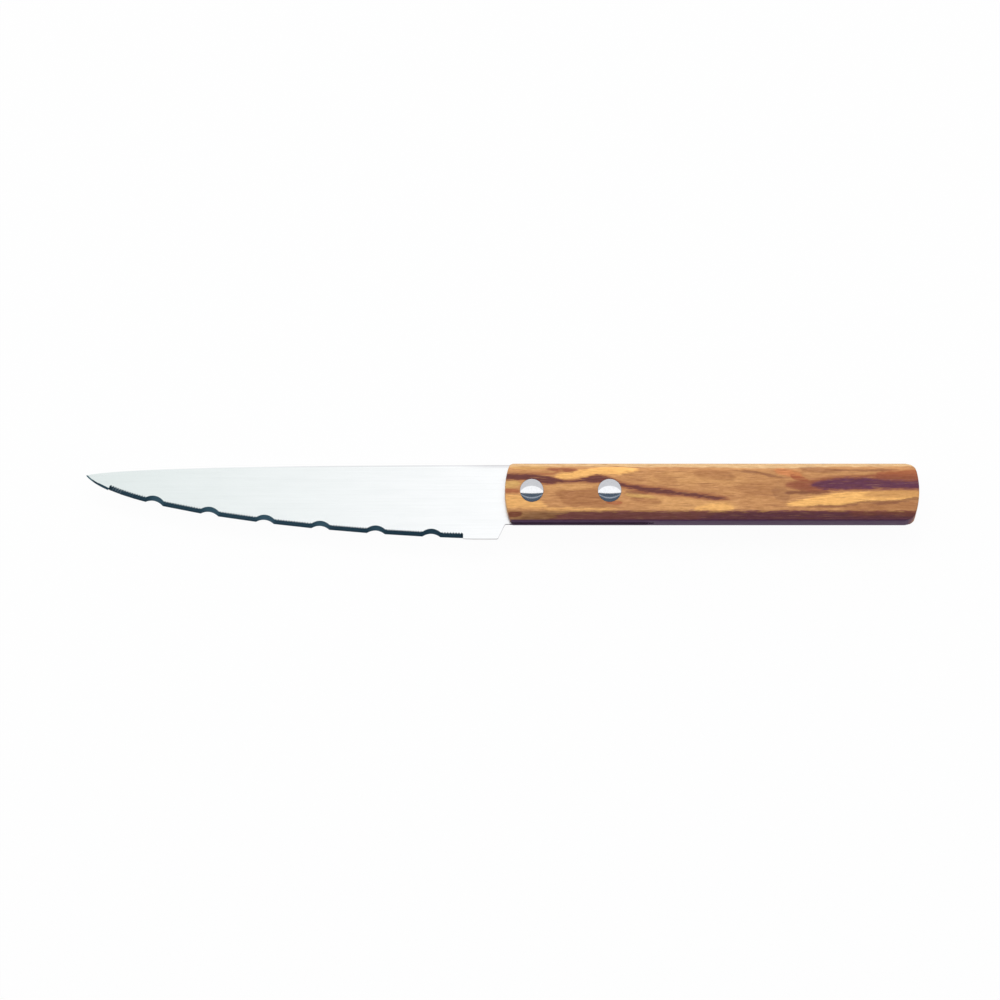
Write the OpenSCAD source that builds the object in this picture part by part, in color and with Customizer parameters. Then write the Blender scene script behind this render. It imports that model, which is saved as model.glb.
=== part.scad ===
// Steak knife: a serrated steel blade whose half tang is held in a one-piece
// wooden handle by two domed rivets, each made of a pin and a sleeve.
// The knife lies on its side: tip toward -X, spine toward +Y, ground side up.
// Places are first written from the middle of the handle's front end.

/* [Blade] */
// Length of the blade from the handle to the tip
blade_len = 110; // [95:1:125]
// Thickness of the tang and of the blade's spine at the handle
blade_t = 1.5; // [1.3:0.1:2]
// Thickness of the spine at the tip
tip_t = 0.95; // [0.8:0.05:1.2]
// Thickness at the heel, before the edge is ground
edge_t = 0.8; // [0.65:0.05:1.1]
// Fall of the spine from the handle to the tip
tip_drop = 2.7; // [1.5:0.1:5]
// Depth of the heel below the neck
heel_step = 3.9; // [2.5:0.1:6]
// Run of the slant between the heel and the neck
heel_slant = 1.9; // [1:0.1:3.5]
// Height that the spine stands above the wood
spine_proud = 0.08; // [0:0.02:0.3]
// Height that the neck and tang stand below the wood
neck_proud = 0.35; // [0:0.05:0.5]
// Length of the tang inside the handle
tang_len = 38; // [35:1:44]

/* [Edge] */
// Distance from the handle to the near end of the serrations
plain_heel = 11; // [8:0.5:15]
// Length of plain edge left at the tip
plain_tip = 5.9; // [5:0.1:10]
// Number of scallops
scallops = 6; // [4:1:7]
// Width of each scallop
scallop_w = 4.8; // [3.6:0.1:5.6]
// Depth of each scallop
scallop_depth = 0.86; // [0.4:0.02:1]
// Height of the ground band, in the scallops
band_h = 1.1; // [0.9:0.05:1.6]
// Pitch of the fine teeth
tooth_pitch = 0.7; // [0.5:0.05:1.2]
// Height of the fine teeth, half above the band's height and half below
tooth_rise = 0.36; // [0.15:0.01:0.45]
// Height of the blank's edge that is ground away
edge_loss = 0.3; // [0.15:0.05:0.5]
// Height of the plain bevel beside the serrations, which narrows to the tip
tip_bevel_h = 0.55; // [0.4:0.05:0.9]

/* [Handle] */
// Length of the handle
handle_len = 108.5; // [100:0.5:125]
// Height of the handle from spine side to edge side
handle_h = 15.25; // [13:0.25:18]
// Thickness of the handle
handle_t = 12.7; // [11:0.1:16]
// Height of each long facet, seen from the side
facet_h = 2.1; // [1.5:0.1:3]
// Depth of each long facet into the thickness
facet_depth = 2.6; // [1.5:0.1:3.5]
// Radius of the two bowed ends
end_r = 21; // [14:1:40]
// Radius of the corners at the butt
butt_corner_r = 3; // [1:0.25:4]
// Radius of the corners at the front
front_corner_r = 1; // [0.5:0.25:2]
// Radius that eases the long edges
arris_r = 0.4; // [0.2:0.05:0.6]
// Radius of the saw that cuts the slot
saw_r = 60; // [40:5:90]
// Gap between the tang and the slot's end
slot_gap = 1; // [0.5:0.1:2]

/* [Rivets] */
// Distance from the handle's front to the first rivet
rivet_x = 7; // [5.5:0.1:8.5]
// Distance between the two rivets
rivet_span = 20.4; // [16:0.1:22]
// Diameter of the rivet heads
head_d = 6.1; // [5.4:0.1:7]
// Height of each dome above the wood
dome_h = 1.2; // [0.6:0.1:1.8]
// Depth that each head sinks into the wood
head_seat = 0.5; // [0.3:0.1:1]
// Diameter of the sleeves
sleeve_d = 4; // [3.5:0.1:4.5]
// Diameter of the pins
pin_d = 2.6; // [2:0.1:3]

/* [Hidden] */
$fn = 96;

// Clearances and small sizes
overrun = 1;
slot_clear = 0.04;
hole_clear = 0.1;
tang_clear = 0.4;
pin_clear = 0.03;
rivet_end_gap = 0.3;
sleeve_floor = 0.4;
shoulder_gap = 0.25;
edge_land = 0.05;
tip_land = 0.2;
tooth_bite = 0.03;
heel_r = 0.6;
neck_r = 0.5;
tang_r = 1;
corner_steps = 6;

// Curves of the blank, as shares of its length and of its height
spine_pull_share = [0.45, 0.04];
tip_pull_share = [0.91, 0.19];
belly_share = [0.922, 0.633];
edge_pull_share = [0.35, 0.964];
edge_end_share = 0.073;
curve_steps = 48;

// Places of the end scallops, as shares of the scallop pitch
heel_side_share = 0.57;
tip_side_share = 0.82;
tip_chords = 3;

// Heights from the handle's middle line
spine_y = handle_h / 2 + spine_proud;
neck_y = -handle_h / 2 - neck_proud;
heel_y = neck_y - heel_step;
tip_y = spine_y - tip_drop;

// Angles of the blade's tapered faces, along and across it
taper_along = atan((blade_t - tip_t) / 2 / blade_len);
taper_across = atan((blade_t - edge_t) / 2 / (spine_y - heel_y));

// The serrated stretch
serrated_from = blade_len - plain_tip;
serrated_len = serrated_from - plain_heel;
scallop_pitch = serrated_len / (scallops - 1 + heel_side_share + tip_side_share);
scallop_x = [for (i = [0:scallops - 1]) -plain_heel - (heel_side_share + i) * scallop_pitch];

// Handle and rivets
dome_r = (pow(head_d / 2, 2) + pow(dome_h, 2)) / (2 * dome_h);
head_z = handle_t / 2 - head_seat;
saw_x = tang_len + slot_gap - sqrt(pow(saw_r, 2) - pow(handle_h / 2, 2));
rivets_x = [rivet_x, rivet_x + rivet_span];

// The origin lies under the middle of the knife, at the lower domes' tops
place = [
    (blade_len - handle_len) / 2,
    -(spine_y + heel_y) / 2,
    handle_t / 2 + dome_h,
];

function unit(v) = v / norm(v);

// A point on the cubic curve through four control points
function curve_point(c, t) =
    pow(1 - t, 3) * c[0] + 3 * pow(1 - t, 2) * t * c[1]
    + 3 * (1 - t) * pow(t, 2) * c[2] + pow(t, 3) * c[3];
function curve(c) = [for (i = [0:curve_steps]) curve_point(c, i / curve_steps)];

// The arc that rounds the corner at b, between its neighbours a and c
function rounded_corner(a, b, c, r) =
    let (
        u = unit(a - b),
        v = unit(c - b),
        half = acos(u * v) / 2,
        mid = b + unit(u + v) * r / sin(half),
        from = b + u * r / tan(half) - mid,
        turn = sign(cross(v, u)) * (180 - 2 * half),
        start = atan2(from.y, from.x)
    )
    [for (i = [0:corner_steps]) mid + r * [
        cos(start + turn * i / corner_steps),
        sin(start + turn * i / corner_steps),
    ]];

// Outlines of the spine, from the handle, and of the edge, from the tip
tip = [-blade_len, tip_y];
edge_h = tip_y - heel_y;
spine_curve = curve([
    [0, spine_y],
    [-blade_len * spine_pull_share.x, spine_y - tip_drop * spine_pull_share.y],
    [-blade_len * tip_pull_share.x, spine_y - tip_drop * tip_pull_share.y],
    tip,
]);
edge_curve = curve([
    tip,
    [-blade_len * belly_share.x, tip_y - edge_h * belly_share.y],
    [-blade_len * edge_pull_share.x, tip_y - edge_h * edge_pull_share.y],
    [-blade_len * edge_end_share, heel_y],
]);
function edge_at(x, raise = 0) = [x, lookup(x, edge_curve) + raise];

// Half the thickness of the tapered blade at a point of it
function half_t(p) =
    blade_t / 2 + p.x * tan(taper_along)
    - (spine_y - p.y) * tan(taper_across) / cos(taper_along);

module placed() {
    translate(place) children();
}

// Moves a cutter from a to b on the edge, +Y toward the spine, and leans it
// to the plane that joins the upper face at height h to the lower at the edge
module on_bevel(a, b, h, foot) {
    top = half_t((a + b) / 2);
    along = b - a;
    translate([a.x, a.y, top])
        rotate([0, 0, atan2(along.y, along.x)])
        translate([0, h, 0])
        rotate([atan((top - foot) / h), 0, 0])
        children();
}

// A flat cutter of length len that runs past its ends where told to
module bevel_cut(len, h, start = overrun, end = overrun) {
    translate([-start, -3 * h, 0])
        cube([start + len + end, 4 * h, 2 * blade_t]);
}

// A cutter with fine teeth on its underside
module tooth_cut(len, h, depth) {
    count = round(len / tooth_pitch);
    step = len / count;
    translate([0, -3 * h, 0])
        rotate([-90, 0, 0])
        linear_extrude(4 * h)
        polygon(concat(
            [for (i = [0:2 * count]) [i * step / 2, i % 2 == 0 ? -depth : 0]],
            [[len, -2 * blade_t], [0, -2 * blade_t]]
        ));
}

// A round cutter that hollows one scallop
module scallop_cut(lean) {
    sag = scallop_depth * sin(lean);
    r = (pow(scallop_w / 2, 2) + pow(sag, 2)) / (2 * sag);
    translate([0, 0, r - sag])
        rotate([90, 0, 0])
        cylinder(r = r, h = 8 * band_h, center = true);
}

module blade_blank() {
    heel = [-heel_slant, heel_y];
    neck = [0, neck_y];
    tang_low = [tang_len, neck_y];
    tang_high = [tang_len, spine_y];
    translate([0, 0, -blade_t / 2])
        linear_extrude(blade_t)
        polygon(concat(
            spine_curve,
            [for (i = [1:curve_steps]) edge_curve[i]],
            rounded_corner(edge_curve[curve_steps], heel, neck, heel_r),
            rounded_corner(heel, neck, tang_low, neck_r),
            rounded_corner(neck, tang_low, tang_high, tang_r),
            rounded_corner(tang_low, tang_high, spine_curve[0], tang_r)
        ));
}

// What is ground off the upper face, up to a line that follows the handle
module face_cut() {
    reach = 2 * handle_h;
    difference() {
        translate([0, spine_y, blade_t / 2])
            rotate([taper_across, -taper_along, 0])
            translate([-blade_len - overrun, -reach, 0])
            cube([blade_len + overrun + end_r, 2 * reach, blade_t]);
        translate([end_r, 0, -blade_t])
            cylinder(r = end_r + shoulder_gap, h = 4 * blade_t);
    }
}

// The toothed band between two places along the edge
module band_stretch(x0, x1, start, end) {
    a = edge_at(x0, edge_loss);
    b = edge_at(x1, edge_loss);
    len = norm(b - a);
    foot = edge_land - half_t((a + b) / 2);
    root_h = band_h - tooth_rise / 2;
    on_bevel(a, b, root_h, foot) bevel_cut(len, root_h, start, end);
    on_bevel(a, b, root_h + tooth_rise, foot - tooth_bite)
        tooth_cut(len, root_h, tooth_rise * sin(atan(-2 * foot / root_h)));
}

module serrations() {
    side = scallop_w / 2;
    near = concat([-plain_heel], [for (x = scallop_x) x - side]);
    far = concat([for (x = scallop_x) x + side], [-serrated_from]);
    for (i = [0:scallops]) {
        chords = i == scallops ? tip_chords : 1;
        run = (near[i] - far[i]) / chords;
        for (j = [0:chords - 1]) band_stretch(
            far[i] + j * run, far[i] + (j + 1) * run,
            i == scallops && j == 0 ? 0 : side / 2,
            i == 0 ? 0 : side / 2
        );
    }
    for (x = scallop_x) {
        a = edge_at(x, edge_loss);
        b = edge_at(x + side, edge_loss);
        foot = edge_land - half_t(a);
        lean = atan((half_t(a) - foot) / band_h);
        on_bevel(a, b, band_h, foot) scallop_cut(lean);
    }
}

// The plain bevel at the tip, on the upper side, lower on each chord to the tip
module tip_bevel() {
    run = plain_tip / tip_chords;
    for (i = [0:tip_chords - 1]) {
        a = edge_at(-blade_len + i * run);
        b = edge_at(-blade_len + (i + 1) * run);
        h = tip_bevel_h * (i + 2) / (tip_chords + 1);
        on_bevel(a, b, h, tip_land / 2) bevel_cut(norm(b - a), tip_bevel_h, overrun, 0);
    }
}

module blade() {
    color("gainsboro") placed() difference() {
        blade_blank();
        face_cut();
        mirror([0, 0, 1]) face_cut();
        serrations();
        tip_bevel();
        mirror([0, 0, 1]) tip_bevel();
        for (x = rivets_x) translate([x, 0, -blade_t])
            cylinder(d = sleeve_d + tang_clear, h = 2 * blade_t);
    }
}

// The handle's section, across Y and up Z
module handle_section() {
    y = handle_h / 2;
    z = handle_t / 2;
    corners = [
        [y, facet_depth - z], [y, z - facet_depth], [y - facet_h, z], [facet_h - y, z],
        [-y, z - facet_depth], [-y, facet_depth - z], [facet_h - y, -z], [y - facet_h, -z],
    ];
    count = len(corners);
    polygon([for (i = [0:count - 1]) each rounded_corner(
        corners[(i + count - 1) % count], corners[i], corners[(i + 1) % count], arris_r
    )]);
}

// What rounds a corner of radius r at the upper front of the plan
module corner_cut(r) {
    rise = handle_h / 2 - r;
    mid = [end_r - sqrt(pow(end_r - r, 2) - pow(rise, 2)), rise];
    far = mid + handle_h * unit(mid - [end_r, 0]);
    difference() {
        polygon([mid, mid + [0, handle_h], [far.x, handle_h], far]);
        translate(mid) circle(r);
    }
}

// The plan of one bowed end, at the front
module bowed_end(corner_r) {
    difference() {
        union() {
            translate([end_r, 0]) circle(end_r);
            translate([end_r, -end_r]) square([handle_len - end_r, 2 * end_r]);
        }
        corner_cut(corner_r);
        mirror([0, 1]) corner_cut(corner_r);
    }
}

module handle_body() {
    intersection() {
        rotate([90, 0, 90]) linear_extrude(handle_len) handle_section();
        translate([0, 0, -handle_t]) linear_extrude(2 * handle_t) intersection() {
            bowed_end(front_corner_r);
            translate([handle_len, 0]) mirror([1, 0]) bowed_end(butt_corner_r);
        }
    }
}

module handle() {
    slot_t = blade_t + 2 * slot_clear;
    color("peru") placed() difference() {
        handle_body();
        translate([saw_x, 0, -slot_t / 2]) cylinder(r = saw_r, h = slot_t);
        for (x = rivets_x) translate([x, 0, 0]) {
            cylinder(d = sleeve_d + hole_clear, h = 2 * handle_t, center = true);
            for (side = [0, 1]) mirror([0, 0, side]) translate([0, 0, head_z])
                cylinder(d = head_d + hole_clear, h = handle_t);
        }
    }
}

// A domed head on the upper side
module rivet_head() {
    intersection() {
        translate([0, 0, head_z]) cylinder(d = head_d, h = head_seat + 2 * dome_h);
        translate([0, 0, handle_t / 2 + dome_h - dome_r]) sphere(dome_r);
    }
}

module rivet_pin(x) {
    foot = sleeve_floor + rivet_end_gap - head_z;
    color("silver") placed() translate([x, 0, 0]) {
        rivet_head();
        translate([0, 0, foot]) cylinder(d = pin_d, h = head_z - foot);
    }
}

module rivet_sleeve(x) {
    color("silver") placed() translate([x, 0, 0]) {
        mirror([0, 0, 1]) rivet_head();
        difference() {
            translate([0, 0, -head_z]) cylinder(d = sleeve_d, h = 2 * head_z - rivet_end_gap);
            translate([0, 0, sleeve_floor - head_z])
                cylinder(d = pin_d + 2 * pin_clear, h = 2 * head_z);
        }
    }
}

blade();
handle();
rivet_pin(rivets_x[0]);  // front_rivet_pin
rivet_sleeve(rivets_x[0]);  // front_rivet_sleeve
rivet_pin(rivets_x[1]);  // rear_rivet_pin
rivet_sleeve(rivets_x[1]);  // rear_rivet_sleeve
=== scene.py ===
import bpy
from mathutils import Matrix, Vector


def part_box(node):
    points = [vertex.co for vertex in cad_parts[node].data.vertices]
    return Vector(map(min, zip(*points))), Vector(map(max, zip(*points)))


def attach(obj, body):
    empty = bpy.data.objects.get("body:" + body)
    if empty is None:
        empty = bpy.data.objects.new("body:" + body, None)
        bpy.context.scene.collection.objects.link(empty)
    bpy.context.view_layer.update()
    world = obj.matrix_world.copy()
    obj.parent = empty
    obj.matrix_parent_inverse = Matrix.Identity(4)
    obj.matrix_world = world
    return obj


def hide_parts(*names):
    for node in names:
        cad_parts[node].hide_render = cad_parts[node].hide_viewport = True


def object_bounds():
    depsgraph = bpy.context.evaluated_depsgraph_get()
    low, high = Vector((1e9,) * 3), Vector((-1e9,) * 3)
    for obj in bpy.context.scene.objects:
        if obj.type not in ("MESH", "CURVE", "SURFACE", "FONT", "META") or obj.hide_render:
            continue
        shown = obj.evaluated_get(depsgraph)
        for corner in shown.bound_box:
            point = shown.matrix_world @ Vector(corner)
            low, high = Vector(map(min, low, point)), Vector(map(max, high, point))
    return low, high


bl_info = {
    "name": "Steak Knife",
    "version": (1, 0, 0),
    "blender": (4, 5, 0),
    "location": "View3D > Sidebar > Steak Knife",
    "description": "Dresses a serrated steak knife with an olive wood handle",
    "category": "Object",
}

import math

import bmesh
import bpy
from mathutils import Vector

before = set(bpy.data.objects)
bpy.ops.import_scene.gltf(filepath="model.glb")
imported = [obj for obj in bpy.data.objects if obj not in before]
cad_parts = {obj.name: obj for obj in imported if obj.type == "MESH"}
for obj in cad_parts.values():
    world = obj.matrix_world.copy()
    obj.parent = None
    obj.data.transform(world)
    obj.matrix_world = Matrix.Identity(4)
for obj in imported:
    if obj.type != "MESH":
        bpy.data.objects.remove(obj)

CAD_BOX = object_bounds()
HANDLE_LOW, HANDLE_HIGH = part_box("handle")
BLADE_LOW, BLADE_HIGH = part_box("blade")
MM = 0.001


def srgb(red, green, blue):
    """A colour picked on screen, 0 to 255, as the linear values that Blender's sockets hold."""
    def linear(level):
        share = level / 255
        return share / 12.92 if share <= 0.04045 else ((share + 0.055) / 1.055) ** 2.4
    return (linear(red), linear(green), linear(blue))


def size(name, description, default):
    return bpy.props.FloatProperty(
        name=name, description=description, default=default, min=0, subtype="DISTANCE", unit="LENGTH"
    )


def share(name, description, default, high=1.0):
    return bpy.props.FloatProperty(
        name=name, description=description, default=default, min=0, max=high, subtype="FACTOR"
    )


def colour(name, description, red, green, blue):
    return bpy.props.FloatVectorProperty(
        name=name, description=description, default=srgb(red, green, blue),
        size=3, min=0, max=1, subtype="COLOR",
    )


def angle(name, description, degrees):
    return bpy.props.FloatProperty(
        name=name, description=description, default=math.radians(degrees), subtype="ANGLE"
    )


class KnifeStageSettings(bpy.types.PropertyGroup):
    """Camera, floor and light"""
    camera_tilt: angle("Camera tilt", "How far the camera leans from overhead to the edge side", 10)
    camera_distance: size("Camera distance", "From the camera to the knife", 2.5)
    view_width: size("View width", "Width of the picture at the knife", 0.2625)
    aim_x: bpy.props.FloatProperty(
        name="Aim along", description="Place of the picture's middle along the knife",
        default=-0.00056, subtype="DISTANCE", unit="LENGTH",
    )
    aim_y: bpy.props.FloatProperty(
        name="Aim across", description="Place of the picture's middle across the knife",
        default=0.00062, subtype="DISTANCE", unit="LENGTH",
    )
    floor_size: size("Floor size", "Side of the square floor", 8.0)
    floor_colour: colour("Floor colour", "Colour of the floor in the shade", 236, 236, 236)
    floor_glow: share("Floor glow", "Share of plain white in the floor as the camera sees it", 0.96)
    sky_strength: share("Sky strength", "Strength of the white light all round", 1.0, 2.0)
    dark_card: colour("Dark card", "Colour of the card on the edge side", 92, 105, 120)
    dark_from: angle("Dark card start", "Lean from overhead at which the dark card begins", 16)
    pale_stripe: colour("Pale stripe", "Colour of the stripe across the dark card", 176, 184, 196)
    grey_card: colour("Grey card", "Colour of the card on the spine side", 236, 236, 238)
    grey_from: angle("Grey card start", "Lean from overhead at which the grey card begins", 35)
    softbox_glow: share("Softbox glow", "Brightness that the softbox adds to the sky", 0.35, 2.0)
    key_glow: share("Key glow", "Share of full light that the key lamp gives", 0.3, 2.0)
    key_lean: angle("Key lean", "Lean of the key lamp from overhead to the spine side", 30)
    floor_mottle: colour("Floor mottle", "Colour of the floor's faint mottle", 215, 215, 215)


class KnifeBladeSettings(bpy.types.PropertyGroup):
    """Finish of the blade"""
    steel: colour("Steel", "Colour of the polished steel by the handle", 224, 225, 226)
    # Painted reflection: the steel greys toward the tip. The same colour tints the haze and polishing
    # lines
    tip_reflection_and_polish_tint: colour("Steel at the tip", "Colour of the polished steel at the tip", 200, 207, 206)
    # Painted reflection: the ground band is coloured dark and bluish, as the dark card shows in it
    ground_band_painted_reflection: colour("Ground steel", "Colour of the ground band", 94, 128, 138)
    sheared_steel: colour("Sheared steel", "Colour of the stamped outline", 96, 94, 92)
    # Painted shade on the downward faces of the neck and tang, and on the tang's strip below the handle
    tang_painted_shade: colour("Tang steel", "Colour of the tang in its slot", 100, 82, 98)
    # Painted shade: a grey line along the spine and a wider grey near the handle, standing in for an
    # eased edge
    spine_shade: colour("Spine shade", "Tint of the eased edge along the spine", 235, 234, 235)
    roughness: share("Roughness", "Roughness of the satin polish", 0.2)
    line_pitch: size("Line pitch", "Pitch of the fine polishing lines", 0.00012)


class KnifeHandleSettings(bpy.types.PropertyGroup):
    """Shape and figure of the wooden handle"""
    facet_height: size("Facet height", "Height of each long facet, seen from the side", 0.0021)
    facet_depth: size("Facet depth", "Depth of each long facet into the thickness", 0.0026)
    end_radius: size("End radius", "Radius of the two bowed ends", 0.021)
    front_corner: size("Front corners", "Radius of the corners at the front", 0.001)
    butt_corner: size("Butt corners", "Radius of the corners at the butt", 0.003)
    arris: size("Eased edges", "Width that eases every edge", 0.0004)
    saw_radius: size("Saw radius", "Radius of the saw that cuts the slot", 0.06)
    slot_gap: size("Slot gap", "Gap between the tang and the slot's end", 0.001)
    slot_clear: size("Slot clearance", "Clearance on each side of the tang", 0.00004)
    tan: colour("Tan", "Ground colour of the wood", 205, 149, 99)
    hazel: colour("Hazel", "Mid-brown haze", 170, 115, 76)
    amber: colour("Amber", "Light orange figure", 222, 166, 108)
    honey: colour("Honey", "Brightest golden figure", 252, 192, 116)
    straw: colour("Straw", "Pale olive figure", 220, 174, 106)
    # Painted highlight: the pale strip along the spine side stands in for light on the top facet
    cream_highlight: colour("Cream", "Pale strip along the spine side", 228, 190, 140)
    coral: colour("Coral", "Pinkish orange figure", 212, 136, 88)
    brick: colour("Brick", "Bright reddish figure", 168, 94, 66)
    rust: colour("Rust", "Reddish figure beside the dark veins", 150, 87, 66)
    umber: colour("Umber", "Thin brown veins", 140, 92, 68)
    plum: colour("Plum", "Heart of the dark veins at the front", 108, 65, 63)
    violet: colour("Violet", "Heart of the dark vein at the butt", 101, 60, 82)
    mulberry: colour("Mulberry", "Dark wood along the edge side", 132, 74, 77)
    # Painted shade with the wood's dark colour: the whole edge side is coloured this dark
    dusk_with_painted_shade: colour("Dusk", "Darkest wood, on the edge side itself", 84, 46, 84)
    roughness: share("Roughness", "Roughness of the oiled wood", 0.5)


class KnifeRivetSettings(bpy.types.PropertyGroup):
    """Finish of the rivets"""
    steel: colour("Steel", "Colour of the polished heads", 219, 220, 223)
    rubbed: colour("Rubbed steel", "Tint where the heads are rubbed", 150, 152, 158)
    roughness: share("Roughness", "Roughness of the polish", 0.1)


class NodeMaker:
    """Builds one material's nodes, a named step at a time."""

    def __init__(self, name):
        self.material = bpy.data.materials.new(name)
        self.material.use_nodes = True
        self.tree = self.material.node_tree
        self.tree.nodes.clear()
        self.place = 0

    def add(self, kind, inputs=(), **settings):
        node = self.tree.nodes.new("ShaderNode" + kind)
        node.location = (self.place * 190, 0)
        self.place += 1
        for name, value in settings.items():
            setattr(node, name, value)
        for name, value in dict(inputs).items():
            self.feed(node.inputs[name], value)
        return node

    def feed(self, socket, value):
        if isinstance(value, bpy.types.NodeSocket):
            self.tree.links.new(value, socket)
        elif socket.type == "RGBA":
            socket.default_value = (*value[:3], 1)
        else:
            socket.default_value = value

    def math(self, operation, first, second=0.0, clamp=False):
        node = self.add("Math", {0: first, 1: second}, operation=operation, use_clamp=clamp)
        return node.outputs[0]

    def vector(self, operation, first, second):
        return self.add("VectorMath", {0: first, 1: second}, operation=operation).outputs[0]

    def split(self, vector):
        return self.add("SeparateXYZ", {0: vector}).outputs

    def join(self, x, y, z):
        return self.add("CombineXYZ", {0: x, 1: y, 2: z}).outputs[0]

    def remap(self, value, low, high, to_low=0.0, to_high=1.0, smooth=True):
        node = self.add(
            "MapRange",
            {"Value": value, "From Min": low, "From Max": high, "To Min": to_low, "To Max": to_high},
            interpolation_type="SMOOTHSTEP" if smooth else "LINEAR",
        )
        return node.outputs["Result"]

    def noise(self, vector, stretch, detail=3.0, roughness=0.55):
        """Noise with about this many waves to the unit along x, y and z."""
        node = self.add("TexNoise", {
            "Vector": self.vector("MULTIPLY", vector, stretch), "Scale": 1.0,
            "Detail": detail, "Roughness": roughness,
        })
        return node.outputs["Fac"]

    def mix(self, factor, first, second, blend="MIX"):
        node = self.add("Mix", data_type="RGBA", blend_type=blend)
        self.feed(node.inputs[0], factor)
        self.feed(node.inputs[6], first)
        self.feed(node.inputs[7], second)
        return node.outputs[2]

    def curve(self, value, points):
        """A smooth curve through the given points, both ways from 0 to 1."""
        node = self.add("FloatCurve", {"Value": value})
        node.mapping.extend = "HORIZONTAL"
        line = node.mapping.curves[0]
        while len(line.points) < len(points):
            line.points.new(0.5, 0.5)
        for point, (across, up) in zip(line.points, points):
            point.location = (across, up)
            point.handle_type = "AUTO_CLAMPED"
        node.mapping.update()
        return node.outputs[0]

    def shade(self, **inputs):
        """The main shader, with its sockets named in lower case, and the output."""
        shader = self.add("BsdfPrincipled")
        for name, value in inputs.items():
            self.feed(shader.inputs[name.replace("_", " ").title().replace("Ior", "IOR")], value)
        self.add("OutputMaterial", {"Surface": shader.outputs[0]})
        return self.material


# Building pieces

def only(obj=None):
    """Leaves only obj selected, or nothing."""
    bpy.ops.object.select_all(action="DESELECT")
    if obj is not None:
        obj.select_set(True)
        bpy.context.view_layer.objects.active = obj


def named(name):
    """The primitive just added, with its place and size moved into its mesh."""
    obj = bpy.context.active_object
    obj.name = obj.data.name = name
    bpy.ops.object.transform_apply(location=True, rotation=True, scale=True)
    return obj


def add_block(name, middle, dimensions):
    only()
    bpy.ops.mesh.primitive_cube_add(size=1, location=middle, scale=dimensions)
    return named(name)


def add_disc(name, middle, radius, height, sides=96):
    only()
    bpy.ops.mesh.primitive_cylinder_add(
        vertices=sides, radius=radius, depth=height, location=middle
    )
    return named(name)


def choose(obj, kind, wanted):
    """In edit mode, selects the vertices, edges or faces for which wanted is true."""
    mode = {"verts": "VERT", "edges": "EDGE", "faces": "FACE"}[kind]
    bpy.ops.mesh.select_mode(type=mode)
    bpy.ops.mesh.select_all(action="DESELECT")
    mesh = bmesh.from_edit_mesh(obj.data)
    for part in getattr(mesh, kind):
        if wanted(part):
            part.select_set(True)
    mesh.select_flush_mode()
    bmesh.update_edit_mesh(obj.data)


def apply_modifier(obj, kind, **settings):
    only(obj)
    modifier = obj.modifiers.new(kind.title(), kind)
    for name, value in settings.items():
        setattr(modifier, name, value)
    bpy.ops.object.modifier_apply(modifier=modifier.name)


def cut(obj, tool):
    apply_modifier(obj, "BOOLEAN", operation="DIFFERENCE", solver="EXACT", object=tool)
    mesh = tool.data
    bpy.data.objects.remove(tool)
    bpy.data.meshes.remove(mesh)


def dress(node, material):
    """Gives a CAD node, or a piece, one material."""
    node.data.materials.clear()
    node.data.materials.append(material)


# The handle

# Where its flat faces are divided, so that the two ends can bow, as shares of
# half its height. None falls beside a long edge, which is eased later.
END_LEVELS = (0.1, 0.2, 0.3, 0.4, 0.5, 0.58, 0.64, 0.8, 0.85, 0.9, 0.94)

# Edges sharper than the first angle are eased, and up to the second they shade smooth
EASE_FROM = math.radians(38.5)
SMOOTH_TO = math.radians(22)
EASE_STEPS = 3

SAW_SIDES = 720
SEAT_DEPTH = 0.5 * MM
SEAT_CLEAR = 0.05 * MM
HOLE_RADIUS = 2.05 * MM


def end_setback(across, half_height, radius, corner):
    """How far a bowed end lies behind its foremost point, at a distance from the middle line."""
    rise = half_height - corner
    mid = radius - math.sqrt((radius - corner) ** 2 - rise ** 2)
    if abs(across) <= rise * radius / (radius - corner):
        return radius - math.sqrt(radius ** 2 - across ** 2)
    return mid - math.sqrt(max(corner ** 2 - (abs(across) - rise) ** 2, 0))


def shape_handle(look):
    middle = (HANDLE_LOW + HANDLE_HIGH) / 2
    length, height, thick = HANDLE_HIGH - HANDLE_LOW
    squeeze = look.facet_height / look.facet_depth
    handle = add_block("olive_handle", middle, (length, height, thick * squeeze))
    bpy.ops.object.mode_set(mode="EDIT")

    def runs_along(edge):
        first, second = edge.verts
        return abs(first.co.x - second.co.x) > length / 2
    choose(handle, "edges", runs_along)
    bpy.ops.mesh.bevel(offset=look.facet_height, segments=1)
    bpy.ops.mesh.select_all(action="SELECT")
    bpy.ops.transform.resize(value=(1, 1, 1 / squeeze), center_override=middle)

    for level in END_LEVELS:
        for side in (-1, 1):
            cut_at = (middle.x, middle.y + side * level * height / 2, middle.z)
            bpy.ops.mesh.select_all(action="SELECT")
            bpy.ops.mesh.bisect(plane_co=cut_at, plane_no=(0, 1, 0))

    near = height * 1e-4
    for end, inward, corner in (
        (HANDLE_LOW.x, 1, look.front_corner), (HANDLE_HIGH.x, -1, look.butt_corner)
    ):
        mesh = bmesh.from_edit_mesh(handle.data)
        levels = sorted({
            round(vert.co.y / near) for vert in mesh.verts if abs(vert.co.x - end) < near
        })
        for level in levels:
            choose(handle, "verts", lambda vert: (
                abs(vert.co.x - end) < near and round(vert.co.y / near) == level
            ))
            back = end_setback(level * near - middle.y, height / 2, look.end_radius, corner)
            bpy.ops.transform.translate(value=(inward * back, 0, 0))
    bpy.ops.object.mode_set(mode="OBJECT")
    apply_modifier(
        handle, "BEVEL", width=look.arris, segments=EASE_STEPS, limit_method="ANGLE",
        angle_limit=EASE_FROM, use_clamp_overlap=False,
    )
    return handle


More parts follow.
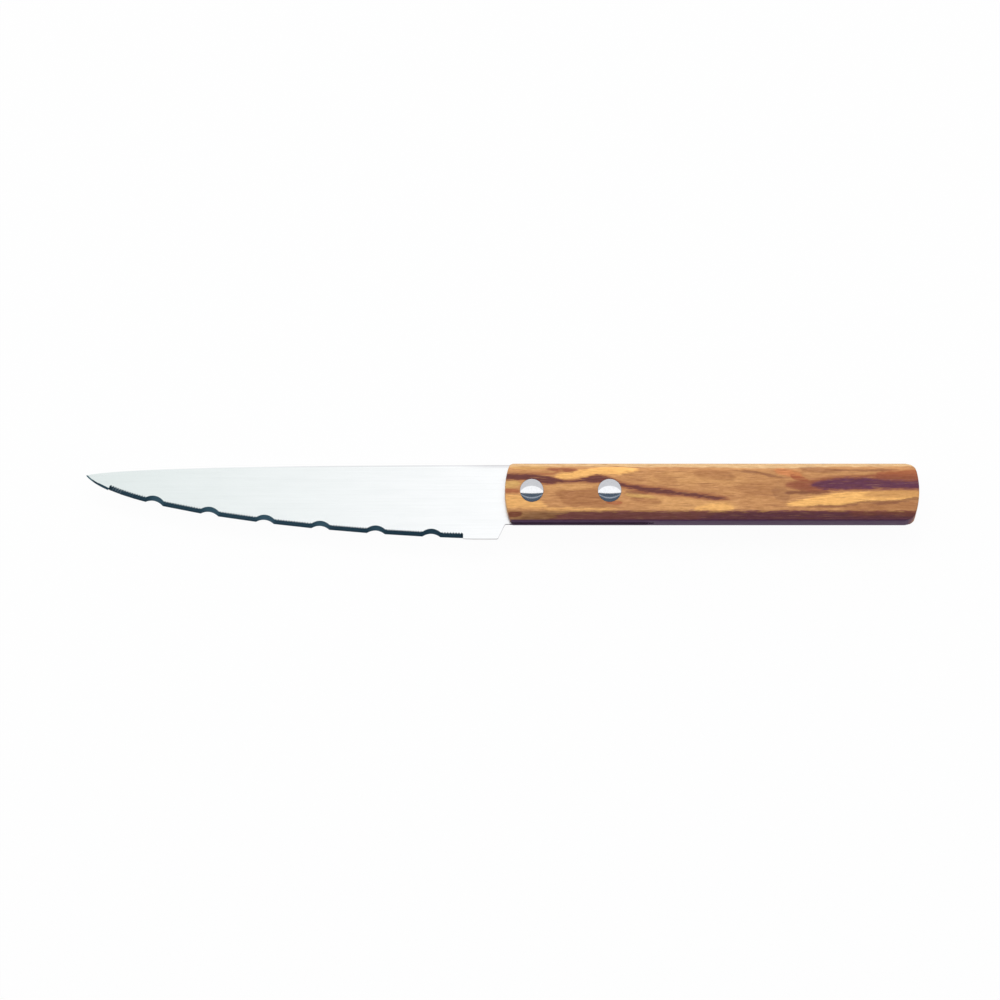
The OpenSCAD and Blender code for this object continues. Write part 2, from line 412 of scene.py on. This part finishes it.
def cut_handle(handle, look):
    """The saw's slot for the tang, and the hole and two seats of each rivet."""
    middle = (HANDLE_LOW + HANDLE_HIGH) / 2
    length, height, thick = HANDLE_HIGH - HANDLE_LOW
    tang_thick = BLADE_HIGH.z - BLADE_LOW.z
    reach = math.sqrt(look.saw_radius ** 2 - (height / 2) ** 2)
    saw_x = BLADE_HIGH.x + look.slot_gap - reach
    cut(handle, add_disc(
        "saw", (saw_x, middle.y, middle.z), look.saw_radius,
        tang_thick + 2 * look.slot_clear, sides=SAW_SIDES,
    ))
    for rivet in ("front_rivet", "rear_rivet"):
        low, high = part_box(rivet + "_pin")
        at = (low + high) / 2
        radius = (high.x - low.x) / 2 + SEAT_CLEAR
        for side in (-1, 1):
            face = middle.z + side * thick / 2
            cut(handle, add_disc("seat", (at.x, at.y, face), radius, 2 * SEAT_DEPTH))
        cut(handle, add_disc("hole", (at.x, at.y, middle.z), HOLE_RADIUS, 2 * thick))


# Each vein or patch of the wood's figure on the upper side, and a painted highlight along the spine
# side, from the front end:
# its colour, how softly it ends, how strong it is, and its places: millimetres
# along the handle, millimetres across it from the middle, and half its width.
# A later one lies over those before it.
FIGURE = (
    ("amber", 1.2, 0.80, ((34, -1.5, 0), (38, -2.6, 1.2), (45, -3.4, 1.8), (53, -4, 1.9),
                          (58, -4.2, 1.5), (63, -4.4, 0))),
    ("amber", 1.0, 0.50, ((36, 3, 0), (42, 3.4, 1.2), (48, 3, 1.3), (54, 3.2, 1.1),
                          (60, 2.6, 1.2), (66, 2, 0))),
    ("hazel", 1.0, 0.75, ((12, -0.9, 0), (15, -1.2, 1.6), (19, -1.9, 2.3), (23, -1.9, 2.2),
                          (26, -2.6, 1.6), (30, -3.2, 0))),
    ("hazel", 0.8, 0.45, ((58, 1.4, 0), (63, 0.6, 1.6), (68, 0.2, 1.8), (73, 0, 0))),
    ("hazel", 0.8, 0.60, ((48, 4.6, 0), (51, 4.5, 0.9), (55, 4.2, 1.1), (59, 3.6, 0.8),
                          (62, 3.2, 0))),
    ("hazel", 0.7, 0.45, ((38, 3.8, 0), (41, 3.2, 0.7), (44, 2.6, 0.7), (46, 2.2, 0))),
    ("hazel", 0.7, 0.65, ((32, -1.6, 0), (35, -2.2, 0.8), (39, -2.8, 0.8), (42, -3.2, 0))),
    ("umber", 0.9, 0.40, ((69, 0, 0), (71, -0.6, 1.6), (73, -1, 1.8), (75, -1.6, 0))),
    ("amber", 0.5, 0.80, ((9, 0.9, 0), (12, 1, 0.5), (18, 0.9, 0.6), (22, 1, 0.5), (24, 1, 0))),
    ("honey", 0.9, 0.70, ((-2, -2.8, 1.4), (2, -2.9, 1.6), (6, -3.1, 1.4), (9, -3.8, 1),
                          (13, -4.6, 0))),
    ("honey", 0.4, 0.50, ((9, -5, 0), (12, -5, 0.4), (20, -5.1, 0.35), (28, -5.1, 0.3),
                          (31, -5, 0))),
    ("straw", 0.5, 0.85, ((-2, 1.7, 1.1), (1, 1.7, 1.1), (3, 1.8, 0.9), (5, 1.9, 0))),
    ("straw", 0.4, 0.80, ((30.5, -1, 0), (33, -1.3, 0.45), (37, -1.6, 0.45), (41, -1.9, 0))),
    ("honey", 0.5, 1.00, ((11.5, 3.3, 0), (14, 3.6, 0.6), (17, 4, 0.9), (20, 4.5, 1),
                          (24, 5, 1.1), (29, 5.4, 1.1), (33, 5.5, 0.8), (37, 5.6, 0))),
    ("honey", 0.7, 0.80, ((48, -5.1, 0), (50, -5, 0.3), (53, -4.6, 0.8), (57, -4.4, 1), (61, -4.8, 0))),
    ("honey", 0.4, 1.00, ((71.5, -4, 0), (75, -3.7, 0.5), (80, -3.2, 1.1), (84, -2.7, 1.4),
                          (89, -2.3, 1.6), (94, -1.9, 1.5), (99, -1.5, 1.2), (111, -1.3, 1.1))),
    ("hazel", 0.5, 0.65, ((86, -4.8, 0), (91, -4.6, 0.6), (97, -4.3, 0.8), (103, -4, 0.9),
                          (111, -3.8, 1))),
    # Painted highlight along the spine side, not figure
    ("cream_highlight", 0.4, 0.90, ((-2, 7.2, 0.6), (8, 7.2, 0.5), (20, 7.3, 0.5), (40, 7.3, 0.6),
                          (60, 7.1, 0.8), (72, 7, 0.9), (85, 7.3, 0.6), (111, 7.4, 0.5))),
    ("coral", 0.6, 0.85, ((69.5, 5.2, 0), (71.5, 5.1, 0.6), (74, 4.6, 0.8), (77, 4, 0.6),
                          (79, 3.6, 0))),
    ("umber", 0.5, 0.50, ((76, 5.9, 0), (79, 5.8, 0.6), (83, 5.6, 0.7), (87, 5.4, 0.5),
                          (90, 5.3, 0))),
    ("umber", 0.25, 0.75, ((82, 5.7, 0), (86, 5.6, 0.2), (94, 5.5, 0.28), (102, 5.6, 0.2),
                           (106, 5.7, 0))),
    ("umber", 0.25, 0.70, ((57, 5.5, 0), (60, 5.3, 0.2), (65, 4.9, 0.28), (69, 4, 0.3),
                           (72, 3.5, 0.2), (75, 3.1, 0))),
    ("brick", 0.4, 0.90, ((74, 3.8, 0), (76, 3.4, 0.6), (78, 2.8, 0.6), (80.5, 2.5, 0))),
    ("brick", 0.6, 0.85, ((94, 4, 0), (99, 4.2, 0.6), (104, 4.3, 1), (108, 4.3, 1.3),
                          (111, 4.3, 1.3))),
    ("hazel", 0.6, 0.50, ((92, -1.4, 0), (96, -1.2, 0.6), (102, -1, 0.8), (111, -0.7, 0.8))),
    ("straw", 0.5, 0.60, ((1, 6.3, 0), (4, 6.2, 0.5), (9, 6.2, 0.5), (14, 6.4, 0))),
    ("rust", 0.4, 0.85, ((9, 5.5, 0), (12, 5.6, 0.3), (14, 5.6, 0.4), (14, 5.7, 0.35),
                         (16.5, 5.5, 0.5), (18.5, 5.5, 0.3), (21, 5.6, 0))),
    ("brick", 0.3, 0.70, ((6.5, 4.4, 0), (9, 4.35, 0.2), (12, 4.3, 0.22), (14, 4.9, 0.2),
                          (16, 5.3, 0))),
    ("brick", 0.4, 0.75, ((-2, -0.1, 0.45), (1.6, -0.1, 0.45), (3.6, -0.2, 0.3), (5, -0.3, 0))),
    ("brick", 0.4, 0.80, ((25.5, -3, 0), (27.5, -3.2, 0.4), (29.5, -3.35, 0.45), (31.5, -3.3, 0))),
    ("umber", 0.3, 0.60, ((30.5, -0.2, 0), (33, -0.4, 0.45), (36, -0.5, 0.45), (39, -0.7, 0))),
    ("umber", 0.4, 0.95, ((71.5, -0.7, 0), (75, -0.6, 0.4), (79, -0.5, 0.5), (83, -0.4, 0.4),
                          (88, -0.1, 0))),
    ("umber", 0.15, 0.85, ((30, 4.2, 0), (31, 4.2, 0.2), (33.5, 4.1, 0.15), (36, 4, 0))),
    ("umber", 0.25, 0.80, ((76, -4.5, 0), (80, -4.3, 0.25), (87, -4.1, 0.3), (91, -3.7, 0.32),
                           (95, -3.2, 0.3), (98.4, -3.4, 0.4), (102, -3.1, 0.3),
                           (108, -2.1, 0.35), (111, -1.9, 0.3))),
    ("rust", 0.5, 0.85, ((91, 3.4, 0), (95, 3.6, 0.6), (101, 3.4, 0.8), (111, 3.3, 0.8))),
    ("rust", 0.9, 0.95, ((71, 1.5, 0), (75, 1.4, 0.7), (79, 1.3, 1.3), (84, 1.7, 1.6),
                         (92, 2, 1.7), (98, 2, 1.6), (104, 1.7, 1.4), (111, 1.6, 1.3))),
    ("violet", 0.7, 0.95, ((78, 1.4, 0), (82, 1.5, 0.7), (87, 1.65, 1.3), (92, 1.8, 1.4),
                           (97, 1.7, 1.2), (102, 1.5, 1), (111, 1.4, 0.95))),
    ("rust", 0.5, 0.70, ((-2, 3.6, 0.9), (4, 3.6, 0.9), (9.5, 3, 1.2), (12.3, 2.6, 1),
                         (14, 2.5, 0.6), (16.5, 2.35, 0.35), (19, 2.55, 0.45), (21.5, 2.8, 0.8),
                         (24.2, 3.05, 1.15), (28, 2.4, 1), (30.2, 1.6, 0.8), (34.7, 0.7, 0.95),
                         (37.7, 0.1, 1.05), (41, -0.2, 1.05), (44, -0.6, 0.95), (49, -1.2, 0.9),
                         (54, -1.85, 0.85), (57.5, -2.2, 0.6), (61, -2.6, 0))),
    ("plum", 0.25, 0.95, ((-2, 3.65, 0.7), (4, 3.6, 0.7), (9.5, 2.95, 0.9), (12.3, 2.6, 0.7),
                          (14, 2.45, 0.42), (16.5, 2.3, 0.2), (19, 2.5, 0.28), (21.5, 2.8, 0.55),
                          (24.2, 3.05, 0.9), (28, 2.4, 0.7), (30.2, 1.55, 0.38),
                          (34.7, 0.7, 0.45), (37.7, 0.1, 0.55), (41, -0.2, 0.58),
                          (44, -0.6, 0.45), (49, -1.2, 0.38), (54, -1.85, 0.38),
                          (57.5, -2.2, 0.18), (60, -2.5, 0))),
    ("mulberry", 0.3, 0.90, ((10, -7, 0), (15, -6.9, 0.8), (20, -6.8, 1.2), (60, -6.8, 1.3),
                             (111, -6.8, 1.3))),
    ("violet", 0.6, 0.55, ((48, -6.8, 0), (60, -6.8, 1.1), (84, -7, 1.2), (111, -7.2, 1.2))),
    ("umber", 0.5, 0.40, ((4, -6.8, 0), (7, -6.8, 0.8), (12, -6.6, 0.9), (16, -6.6, 0))),
    ("rust", 0.3, 0.95, ((0.8, -6, 0), (2, -6.1, 0.55), (4, -6.1, 0.5), (6, -6, 0))),
    ("rust", 0.4, 0.60, ((88, -5.9, 0), (93, -5.9, 0.35), (111, -5.9, 0.4))),
)


# What the curves of a vein span, in millimetres: a start and a length along the
# handle, a start and a length across it, and the greatest half width
ALONG_FROM, ALONG_SPAN = -5.0, 120.0
ACROSS_FROM, ACROSS_SPAN = -10.0, 20.0
MOST_HALF = 4.0


def vein_mask(maker, along, across, fray, places, soft, strength):
    """As high as its strength on a vein through these places, and 0 away from it."""
    position = maker.math("MULTIPLY_ADD", along, 1 / ALONG_SPAN)
    position.node.inputs[2].default_value = -ALONG_FROM / ALONG_SPAN
    first, last = places[0], places[-1]
    run = [(first[0] - 1, first[1], 0), *places, (last[0] + 1, last[1], 0)]
    stops = [(x - ALONG_FROM) / ALONG_SPAN for x, y, half in run]
    middle = maker.curve(position, [
        (stop, (y - ACROSS_FROM) / ACROSS_SPAN) for stop, (x, y, half) in zip(stops, run)
    ])
    width = maker.curve(position, [
        (stop, half / MOST_HALF) for stop, (x, y, half) in zip(stops, run)
    ])
    centre = maker.math("MULTIPLY_ADD", middle, ACROSS_SPAN)
    centre.node.inputs[2].default_value = ACROSS_FROM
    half = maker.math("MULTIPLY", width, MOST_HALF)
    off = maker.math("ABSOLUTE", maker.math("SUBTRACT", across, centre))
    inside = maker.math("ADD", maker.math("SUBTRACT", half, off), fray)
    edge = maker.remap(inside, -soft, soft * 0.6)
    present = maker.remap(half, 0.02, 0.3)
    return maker.math("MULTIPLY", maker.math("MULTIPLY", edge, present), strength)


def olive_wood(look):
    """Olive wood with its figure, a painted highlight along the spine side and painted shade on the
    edge side, measured in millimetres from the handle's front.
    """
    maker = NodeMaker("olive_wood")
    spot = maker.add("TexCoord").outputs["Object"]
    middle = (HANDLE_LOW + HANDLE_HIGH) / 2
    front = (HANDLE_LOW.x, middle.y, HANDLE_HIGH.z)
    spot = maker.vector("MULTIPLY", maker.vector("SUBTRACT", spot, front), (1 / MM,) * 3)
    x, y, z = maker.split(spot)
    depth = maker.math("MULTIPLY", z, -1.0)

    # The figure leans through the wood, wanders a little and ends in frayed fibres
    wander = maker.noise(spot, (0.1, 0.3, 0.25), detail=2)
    ripple = maker.noise(spot, (0.45, 1.3, 1.0))
    streak = maker.noise(spot, (0.32, 3.0, 3.0), detail=4, roughness=0.6)
    strand = maker.noise(spot, (0.16, 1.9, 1.9), detail=4, roughness=0.6)
    drift = maker.math("ADD",
        maker.math("MULTIPLY", maker.math("SUBTRACT", wander, 0.5), 0.5),
        maker.math("MULTIPLY", maker.math("SUBTRACT", ripple, 0.5), 0.6))
    fray = maker.math("MULTIPLY", maker.math("SUBTRACT", streak, 0.5), 1.9)
    lean = maker.math("MULTIPLY", depth, 0.12)
    across = maker.math("ADD", maker.math("ADD", y, lean), drift)
    along = maker.math("ADD", x, maker.math("MULTIPLY", depth, 0.5))

    # A soft cloudy ground, then each vein and patch
    cloud = maker.noise(spot, (0.2, 0.9, 0.9), detail=4)
    tone = maker.mix(maker.remap(cloud, 0.45, 0.75, 0, 0.55), look.tan, look.hazel)
    tone = maker.mix(maker.remap(cloud, 0.45, 0.25, 0, 0.5), tone, look.amber)
    for name, soft, strength, places in FIGURE:
        mask = vein_mask(maker, along, across, fray, places, soft, strength)
        tone = maker.mix(mask, tone, getattr(look, name))

    # Long strands over it all, and painted shade with the darkest wood on the edge side
    tone = maker.mix(maker.remap(strand, 0.52, 0.72, 0, 0.42), tone, look.umber)
    tone = maker.mix(maker.remap(strand, 0.46, 0.28, 0, 0.3), tone, look.amber)
    edge = maker.math("MULTIPLY", maker.remap(y, -7.1, -7.5), maker.remap(depth, 1.6, 2.8))
    tone = maker.mix(edge, tone, look.dusk_with_painted_shade)

    # The fine grain, lighter and darker, with pores
    fibre = maker.noise(spot, (0.5, 11, 11), detail=2)
    blotch = maker.noise(spot, (0.7, 1.9, 1.9), roughness=0.6)
    light = maker.math("MULTIPLY",
        maker.remap(streak, 0.3, 0.7, 0.8, 1.15, smooth=False),
        maker.remap(fibre, 0.3, 0.7, 0.93, 1.06, smooth=False))
    light = maker.math("MULTIPLY", light, maker.remap(blotch, 0.3, 0.7, 0.9, 1.08, smooth=False))
    warm = maker.join(
        maker.math("POWER", light, 0.8), light, maker.math("POWER", light, 1.25))
    tone = maker.mix(1.0, tone, warm, "MULTIPLY")
    pore = maker.noise(spot, (1.1, 10, 10), detail=2)
    pores = maker.remap(pore, 0.63, 0.72)
    tone = maker.mix(maker.math("MULTIPLY", pores, 0.3), tone, look.rust)

    relief = maker.math("ADD",
        maker.math("MULTIPLY", fibre, 0.5), maker.math("MULTIPLY", pores, -0.6))
    bump = maker.add("Bump", {"Strength": 0.15, "Distance": 0.04 * MM, "Height": relief})
    gloss = maker.remap(streak, 0.3, 0.75, look.roughness - 0.06, look.roughness + 0.1)
    return maker.shade(
        base_color=tone, roughness=gloss, normal=bump.outputs[0], specular_ior_level=0.04,
    )


# Metal

# How far the spine falls for each millimetre from the handle
SPINE_FALL = 0.0045


def satin_steel(look):
    """Satin polish, with the ground band and its painted dark reflection, the stamped outline, painted
    shade on the tang and along the spine, and a painted reflection toward the tip. In millimetres.
    """
    maker = NodeMaker("satin_blade_steel")
    coordinates = maker.add("TexCoord")
    spot = maker.vector("MULTIPLY", coordinates.outputs["Object"], (1 / MM,) * 3)
    x, y, z = maker.split(spot)
    ny, nz = maker.split(coordinates.outputs["Normal"])[1:]
    front = HANDLE_LOW.x / MM
    spine = BLADE_HIGH.y / MM
    underside = HANDLE_LOW.y / MM
    # Painted reflection: the steel greys toward the tip
    reach = maker.remap(x, BLADE_LOW.x / MM, front, smooth=False)
    tone = maker.mix(reach, look.tip_reflection_and_polish_tint, look.steel)

    # The ground band is the part whose faces lean toward the edge, and the
    # stamped outline the part whose faces stand upright
    ground = maker.remap(ny, -0.16, -0.24)
    sheared = maker.remap(maker.math("ABSOLUTE", nz), 0.25, 0.12)
    # Painted shade near the spine by the handle, standing in for an eased edge
    painted_spine_shade = maker.math("MULTIPLY",
        maker.remap(y, spine - 1.1, spine - 0.2), maker.remap(x, front - 14, front - 2))
    pitch = look.line_pitch / MM
    lines = maker.noise(spot, (0.02, 1 / pitch, 1 / pitch))
    cross = maker.noise(spot, (1 / pitch, 0.15, 0.15), detail=2)
    haze = maker.noise(spot, (0.07, 0.25, 0.25))
    tone = maker.mix(maker.remap(haze, 0.35, 0.75, 0, 0.06), tone, look.tip_reflection_and_polish_tint, "MULTIPLY")
    tone = maker.mix(maker.remap(lines, 0.4, 0.8, 0, 0.08), tone, look.tip_reflection_and_polish_tint, "MULTIPLY")
    # Painted shade: a thin grey line along the falling spine
    ahead = maker.math("SUBTRACT", front, x)
    spine_line_shade = maker.math("ADD", y, maker.math("MULTIPLY", ahead, SPINE_FALL))
    spine_line_shade = maker.math("MULTIPLY",
        maker.remap(spine_line_shade, spine - 0.4, spine - 0.1), maker.remap(x, front - 75, front - 50))
    tone = maker.mix(spine_line_shade, tone, look.spine_shade, "MULTIPLY")
    tone = maker.mix(painted_spine_shade, tone, look.spine_shade, "MULTIPLY")
    # The ground band's dark bluish colour is a painted reflection
    tone = maker.mix(ground, tone, look.ground_band_painted_reflection)

    # Painted shade on the neck and the tang's edge where they face down, and on the strip of tang that
    # stands out of the slot
    tang = maker.math("MULTIPLY",
        maker.remap(x, front - 3, front - 1), maker.remap(ny, -0.3, -0.7))
    outline = maker.mix(tang, look.sheared_steel, look.tang_painted_shade)
    tone = maker.mix(sheared, tone, outline)
    shade_beneath_handle = maker.math("MULTIPLY",
        maker.remap(x, front + 1, front + 2), maker.remap(y, underside + 0.6, underside + 0.3))
    tone = maker.mix(shade_beneath_handle, tone, look.tang_painted_shade)
    grain = maker.mix(ground, lines, cross)
    relief = maker.add("RGBToBW", {0: grain}).outputs[0]
    bump = maker.add("Bump", {"Strength": 0.05, "Distance": 0.01 * MM, "Height": relief})
    gloss = maker.remap(lines, 0.3, 0.7, look.roughness - 0.03, look.roughness + 0.04)
    gloss = maker.math("ADD", gloss, maker.math("MULTIPLY", sheared, 0.3))
    # The painted shade on the neck's downward sheared faces is not metallic
    dull_painted_shade = maker.math("MULTIPLY", sheared, tang)
    return maker.shade(
        base_color=tone, metallic=maker.math("SUBTRACT", 1.0, dull_painted_shade), roughness=gloss,
        normal=bump.outputs[0], specular_ior_level=0.0,
    )


def polished_steel(look):
    """Bright polish, rubbed here and there."""
    maker = NodeMaker("polished_rivet_steel")
    spot = maker.vector("MULTIPLY", maker.add("TexCoord").outputs["Object"], (1 / MM,) * 3)
    rub = maker.noise(spot, (1.4, 1.4, 1.4), detail=4, roughness=0.7)
    scratch = maker.noise(spot, (9, 1.2, 4))
    tone = maker.mix(maker.remap(rub, 0.4, 0.75, 0, 0.12), look.steel, look.rubbed, "MULTIPLY")
    gloss = maker.remap(scratch, 0.3, 0.75, look.roughness - 0.04, look.roughness + 0.08)
    bump = maker.add("Bump", {"Strength": 0.12, "Distance": 0.02 * MM, "Height": rub})
    return maker.shade(
        base_color=tone, metallic=1.0, roughness=gloss, normal=bump.outputs[0],
    )


# The stage

FLOOR_THICK = 0.01

# A card's top edge stands this far from the knife, and its foot this many times
# as far out. Its width runs along the knife. Its stripe is given by the shares
# of the card's height at the stripe's two borders, each softened by a blend.
CARD_REACH = 0.7
CARD_FOOT = 1.5
CARD_WIDTH = 8.0
CARD_THICK = 0.004
STRIPE_LOW, STRIPE_HIGH = 0.63, 0.73
STRIPE_BLEND = 0.02

SOFTBOX_LEAN = math.radians(11)
SOFTBOX_DISTANCE = 1.3
SOFTBOX_WIDTH = 1.2
SOFTBOX_LENGTH = 12.0
KEY_DISTANCE = 1.2
KEY_WIDTH = 0.5


def floor_paint(look):
    """Pale paint that the camera and mirrors see nearly white, with the knife's shadow on it."""
    maker = NodeMaker("floor_paint")
    spot = maker.add("TexCoord").outputs["Object"]
    mottle = maker.noise(spot, (9, 9, 9))
    tone = maker.mix(maker.remap(mottle, 0.3, 0.7, 0, 0.02), look.floor_colour, look.floor_mottle)
    paint = maker.add("BsdfDiffuse", {"Color": tone}).outputs[0]
    glow = maker.add("Emission", {"Color": (1, 1, 1), "Strength": 1.0}).outputs[0]
    path = maker.add("LightPath").outputs
    seen = maker.math("ADD", path["Is Camera Ray"], path["Is Glossy Ray"], clamp=True)
    seen = maker.math("ADD", seen, path["Is Transmission Ray"], clamp=True)
    part = maker.math("MULTIPLY", seen, look.floor_glow)
    mixed = maker.add("MixShader", {0: part, 1: paint, 2: glow}).outputs[0]
    maker.add("OutputMaterial", {"Surface": mixed})
    return maker.material


def card_paint(name, top, tone, stripe):
    """Paint for a card this high, as bright as its colours say, with a stripe across it."""
    maker = NodeMaker(name)
    height = maker.split(maker.add("TexCoord").outputs["Object"])[2]
    blend = STRIPE_BLEND
    below = maker.remap(height, top * (STRIPE_HIGH + blend), top * (STRIPE_HIGH - blend))
    above = maker.remap(height, top * (STRIPE_LOW - blend), top * (STRIPE_LOW + blend))
    shown = maker.mix(maker.math("MULTIPLY", below, above), tone, stripe)
    glow = maker.add("Emission", {"Color": shown, "Strength": 1.0}).outputs[0]
    maker.add("OutputMaterial", {"Surface": glow})
    return maker.material


def add_floor(look):
    floor = add_block(
        "floor", (0, 0, -FLOOR_THICK / 2), (look.floor_size, look.floor_size, FLOOR_THICK)
    )
    dress(floor, floor_paint(look))


def add_card(name, lean, side, tone, stripe):
    """A card that leans in over one side, out of the camera's sight, to show in the steel."""
    top = CARD_REACH * Vector((0, side * math.sin(lean), math.cos(lean)))
    foot = Vector((0, side * CARD_REACH * CARD_FOOT, 0))
    slope = top - foot
    only()
    bpy.ops.mesh.primitive_cube_add(
        size=1, location=(top + foot) / 2, scale=(CARD_WIDTH, slope.length, CARD_THICK),
        rotation=(math.atan2(slope.z, slope.y), 0, 0),
    )
    card = named(name)
    card.visible_camera = False
    dress(card, card_paint(name + "_paint", top.z, tone, stripe))


def add_lamp(name, lean, distance, width, length, glow):
    """A soft lamp that leans to the spine side and shines back at the knife.

    Its glow is the brightness of its face, where 1 is the white of the sky.
    """
    lean_to = Vector((0, math.sin(lean), math.cos(lean)))
    only()
    bpy.ops.object.light_add(type="AREA", location=distance * lean_to, rotation=(-lean, 0, 0))
    lamp = bpy.context.active_object
    lamp.name = name
    lamp.data.shape = "RECTANGLE"
    lamp.data.size = length
    lamp.data.size_y = width
    lamp.data.energy = glow * math.pi * width * length
    return lamp


def light_sky(look):
    world = bpy.data.worlds.new("studio")
    bpy.context.scene.world = world
    world.use_nodes = True
    backdrop = world.node_tree.nodes["Background"]
    backdrop.inputs["Color"].default_value = (1, 1, 1, 1)
    backdrop.inputs["Strength"].default_value = look.sky_strength


def add_camera(look):
    middle = (CAD_BOX[0][2] + CAD_BOX[1][2]) / 2
    aim = Vector((look.aim_x, look.aim_y, middle))
    lean = Vector((0, -math.sin(look.camera_tilt), math.cos(look.camera_tilt)))
    only()
    bpy.ops.object.camera_add(
        location=aim + look.camera_distance * lean, rotation=(look.camera_tilt, 0, 0)
    )
    camera = bpy.context.active_object
    camera.name = "camera"
    camera.data.lens = camera.data.sensor_width * look.camera_distance / look.view_width
    camera.data.clip_end = 20
    bpy.context.scene.camera = camera


class KNIFE_OT_stage(bpy.types.Operator):
    """Sets up the camera, the pale floor and the soft light"""
    bl_idname = "knife.stage"
    bl_label = "Stage"

    def execute(self, context):
        look = context.scene.knife_stage
        bpy.context.scene.view_settings.view_transform = "Standard"
        add_camera(look)
        add_floor(look)
        add_card("dark_card", look.dark_from, -1, look.dark_card, look.pale_stripe)
        add_card("grey_card", look.grey_from, 1, look.grey_card, look.grey_card)
        light_sky(look)
        add_lamp(
            "softbox", SOFTBOX_LEAN, SOFTBOX_DISTANCE, SOFTBOX_WIDTH, SOFTBOX_LENGTH,
            look.softbox_glow,
        )
        # The share of the sky that the key lamp fills, as the knife sees it
        key_share = KEY_WIDTH ** 2 / KEY_DISTANCE ** 2 / math.pi
        key = add_lamp(
            "key", look.key_lean, KEY_DISTANCE, KEY_WIDTH, KEY_WIDTH, look.key_glow / key_share
        )
        key.visible_glossy = False
        return {"FINISHED"}


class KNIFE_OT_blade(bpy.types.Operator):
    """Gives the blade its satin polish and ground band"""
    bl_idname = "knife.blade"
    bl_label = "Blade"

    def execute(self, context):
        dress(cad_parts["blade"], satin_steel(context.scene.knife_blade))
        return {"FINISHED"}


class KNIFE_OT_handle(bpy.types.Operator):
    """Shapes the olive wood handle, with its slot and rivet seats"""
    bl_idname = "knife.handle"
    bl_label = "Handle"

    def execute(self, context):
        look = context.scene.knife_handle
        handle = shape_handle(look)
        cut_handle(handle, look)
        only(handle)
        bpy.ops.object.shade_smooth_by_angle(angle=SMOOTH_TO)
        dress(handle, olive_wood(look))
        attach(handle, "root")
        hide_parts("handle")
        return {"FINISHED"}


class KNIFE_OT_rivets(bpy.types.Operator):
    """Gives the rivets their polish"""
    bl_idname = "knife.rivets"
    bl_label = "Rivets"

    def execute(self, context):
        steel = polished_steel(context.scene.knife_rivets)
        for name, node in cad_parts.items():
            if "rivet" in name:
                dress(node, steel)
        return {"FINISHED"}


class KNIFE_PT_panel(bpy.types.Panel):
    """Lists the knife's pieces and their settings"""
    bl_idname = "KNIFE_PT_panel"
    bl_label = "Steak Knife"
    bl_space_type = "VIEW_3D"
    bl_region_type = "UI"
    bl_category = "Steak Knife"

    def draw(self, context):
        for operator, settings in STEPS:
            box = self.layout.box()
            box.operator(operator.bl_idname)
            group = getattr(context.scene, settings)
            for name in group.__annotations__:
                box.prop(group, name)


GROUPS = {
    "knife_stage": KnifeStageSettings,
    "knife_blade": KnifeBladeSettings,
    "knife_handle": KnifeHandleSettings,
    "knife_rivets": KnifeRivetSettings,
}
STEPS = (
    (KNIFE_OT_stage, "knife_stage"),
    (KNIFE_OT_blade, "knife_blade"),
    (KNIFE_OT_handle, "knife_handle"),
    (KNIFE_OT_rivets, "knife_rivets"),
)
CLASSES = (*GROUPS.values(), *(step[0] for step in STEPS), KNIFE_PT_panel)


def register():
    for kind in CLASSES:
        bpy.utils.register_class(kind)
    for name, group in GROUPS.items():
        setattr(bpy.types.Scene, name, bpy.props.PointerProperty(type=group))


def unregister():
    for name in GROUPS:
        delattr(bpy.types.Scene, name)
    for kind in reversed(CLASSES):
        bpy.utils.unregister_class(kind)


def main():
    register()
    bpy.ops.knife.stage()
    bpy.ops.knife.blade()
    bpy.ops.knife.handle()
    bpy.ops.knife.rivets()


if __name__ == "__main__":
    main()
